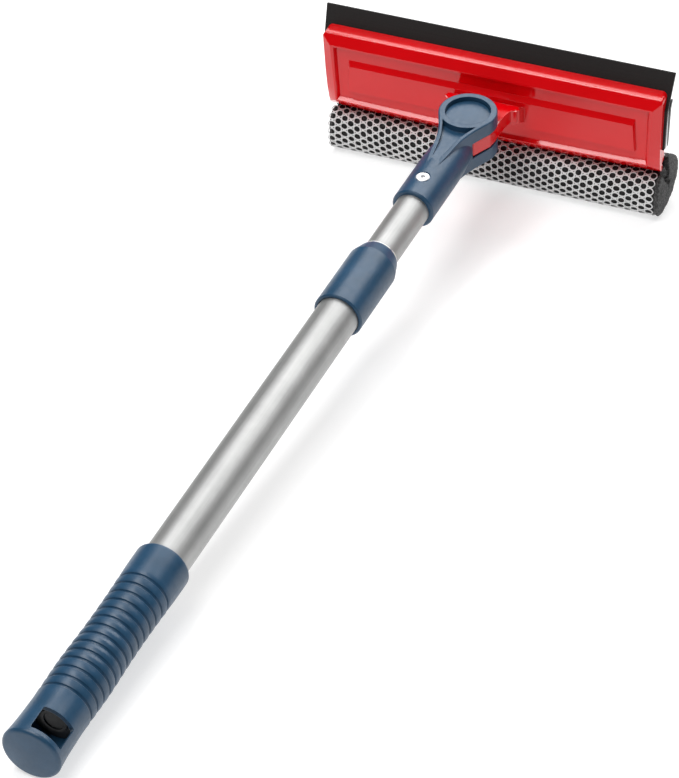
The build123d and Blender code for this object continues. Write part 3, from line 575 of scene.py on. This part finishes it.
def distance_to_fold(point):
    """Distance from a (y, z) point to the nearest place on the fold's line."""
    target = Vector(point)
    corners = [Vector(corner) for corner in FOLD]
    distances = []
    for first, last in zip(corners, corners[1:]):
        share = (target - first).dot(last - first) / (last - first).length_squared
        nearest = first.lerp(last, max(0.0, min(1.0, share)))
        distances.append((target - nearest).length)
    return min(distances)


def bumpiness(point, kind):
    """Height in mm of the lumps or the pits at a point of the foam."""
    scale, height = kind
    return height * noise.noise(Vector(point) * scale)


def make_foam():
    """Foam roll with cut, slightly swollen ends and a fold in each."""
    outline = smoothed(section_of_roll(), FOAM_SMOOTHING)
    closed = np.vstack([outline, outline[:1]])
    steps = np.concatenate([[0], np.cumsum(np.linalg.norm(np.diff(closed, axis=0), axis=1))])
    walk = np.linspace(0, steps[-1], FOAM_AROUND, endpoint=False)
    ring = np.stack([np.interp(walk, steps, closed[:, k]) for k in (0, 1)], axis=1)
    centre = np.array(ROLL_CENTRE)
    outward = ring - centre
    ring = centre + outward * (1 - NET_THICKNESS / np.linalg.norm(outward, axis=1))[:, None]

    sections = []       # (x, share of the full section)
    for step in range(END_RINGS):
        share = (step + 1) / END_RINGS
        back = END_ROUND * (1 - math.sqrt(max(0.0, 1 - share ** END_POWER)))
        sections.append((-FOAM_HALF + back, share))
    body_from = -FOAM_HALF + END_ROUND
    stations = int(-2 * body_from / FOAM_STEP)
    middle = [(body_from + 2 * -body_from * k / stations, 1.0) for k in range(1, stations)]
    sections = sections + middle + [(-x, share) for x, share in reversed(sections)]

    points = []
    for x, share in sections:
        section = centre + (ring - centre) * share
        for y, z in section:
            depth = bumpiness((x, y, z), LUMPS) + bumpiness((x, y, z), PITS)
            direction = Vector((0.0, y - centre[0], z - centre[1])).normalized()
            fold = FOLD_DEPTH * math.exp(-(distance_to_fold((y, z)) / FOLD_WIDTH) ** 2)
            end = max(0.0, 1 - (FOAM_HALF - abs(x)) / END_REACH)
            inwards = -math.copysign(end * (fold + END_BUMPS * (END_DEPTH - depth)), x)
            bare = min(1.0, max(0.0, (abs(x) - BARE_FROM) / BARE_FADE))
            skin = bare * (SWELL + SKIN_BUMPS * depth) - (1 - bare) * PRESS
            radial = skin if share >= SKIN_FROM else 0.0
            points.append((x + inwards + FOAM_SHIFT, y + direction.y * radial, z + direction.z * radial))
    faces = []
    for band in range(len(sections) - 1):
        for k in range(FOAM_AROUND):
            following = (k + 1) % FOAM_AROUND
            faces.append((band * FOAM_AROUND + k, band * FOAM_AROUND + following,
                          (band + 1) * FOAM_AROUND + following, (band + 1) * FOAM_AROUND + k))
    # close both ends at their middle
    for band, turn in ((0, -1), (len(sections) - 1, 1)):
        hub = len(points)
        points.append((sections[band][0] + FOAM_SHIFT, *centre))
        for k in range(FOAM_AROUND):
            following = (k + 1) % FOAM_AROUND
            corner = (band * FOAM_AROUND + k, band * FOAM_AROUND + following, hub)
            faces.append(corner[::turn])
    foam = mesh_object("foam_roll", np.array(points), faces, MATERIALS["sponge_foam"])
    foam.data.materials.append(NET_SHADED_FOAM)
    # faces under the net take the darker copy, which is painted shade; the free ends keep the plain foam
    for polygon in foam.data.polygons:
        polygon.material_index = int(abs(points[polygon.vertices[0]][0]) < BARE_FROM)
    return foam


# ---------------------------------------------------------------- floor, lights and camera
FLOOR_SIZE = 8.0


def make_floor():
    bpy.ops.mesh.primitive_plane_add(size=FLOOR_SIZE)
    floor = bpy.context.object
    floor.name = "floor"
    look = Shader("pale_floor")
    look.colour(look.ramp(look.noise(3.0, 2.0), [(0.3, (0.50, 0.50, 0.50)), (0.7, (0.52, 0.52, 0.52))]))
    # a translucent table lit from below: the shadows stay faint
    look.set(Roughness=0.9, Specular_IOR_Level=0.1, Emission_Color=(1, 1, 1, 1), Emission_Strength=0.62)
    floor.data.materials.append(look.material)


def area_light(name, place, aim, size, watts):
    data = bpy.data.lights.new(name, "AREA")
    data.shape = "RECTANGLE"
    data.size, data.size_y = size
    data.energy = watts
    light = bpy.data.objects.new(name, data)
    light.location = place
    light.rotation_euler = (Vector(aim) - Vector(place)).to_track_quat("-Z", "Y").to_euler()
    bpy.context.scene.collection.objects.link(light)


def light_scene():
    world = bpy.data.worlds.new("studio")
    world.use_nodes = True
    background = world.node_tree.nodes["Background"]
    background.inputs["Color"].default_value = (1, 1, 1, 1)
    background.inputs["Strength"].default_value = 0.06
    bpy.context.scene.world = world
    # a key high in front, a soft box overhead that the rounded top edges mirror, and a wide soft box
    # behind that the top faces mirror
    area_light("key", (-0.25, -0.95, 2.05), (0.0, 0.0, 0.03), (1.2, 1.0), 31)
    area_light("top", (-0.55, 0.20, 2.10), (0.0, 0.2, 0.03), (1.0, 0.5), 15)
    area_light("back", (0.15, 1.75, 1.65), (0.0, 0.2, 0.03), (2.5, 1.4), 50)
    bpy.context.scene.view_settings.view_transform = "Standard"


# the photograph's viewpoint in the pole's frame
CAMERA_PLACE = (647.315, -1451.374, 1221.964)   # mm
CAMERA_TURN = (48.0857, 2.2983, 25.0204)        # degrees
CAMERA_LENS = 155.99                            # mm, on a sensor 36 mm wide
SENSOR_WIDTH = 36.0


def place_camera():
    data = bpy.data.cameras.new("camera")
    data.sensor_width = SENSOR_WIDTH
    data.lens = CAMERA_LENS
    camera = bpy.data.objects.new("camera", data)
    bpy.context.scene.collection.objects.link(camera)
    turn = Euler([math.radians(angle) for angle in CAMERA_TURN])
    place = Matrix.Translation(Vector(CAMERA_PLACE) * MM)
    camera.matrix_world = pole_frame @ place @ turn.to_matrix().to_4x4()
    bpy.context.scene.camera = camera


# ---------------------------------------------------------------- assembly
dress_cad_nodes()

path = net_path()
net, net_flat = make_net(path)
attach(net, "head")
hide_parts("mesh_cover")

foam = make_foam()
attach(foam, "head")
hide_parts("sponge_core")

make_floor()
light_scene()
place_camera()
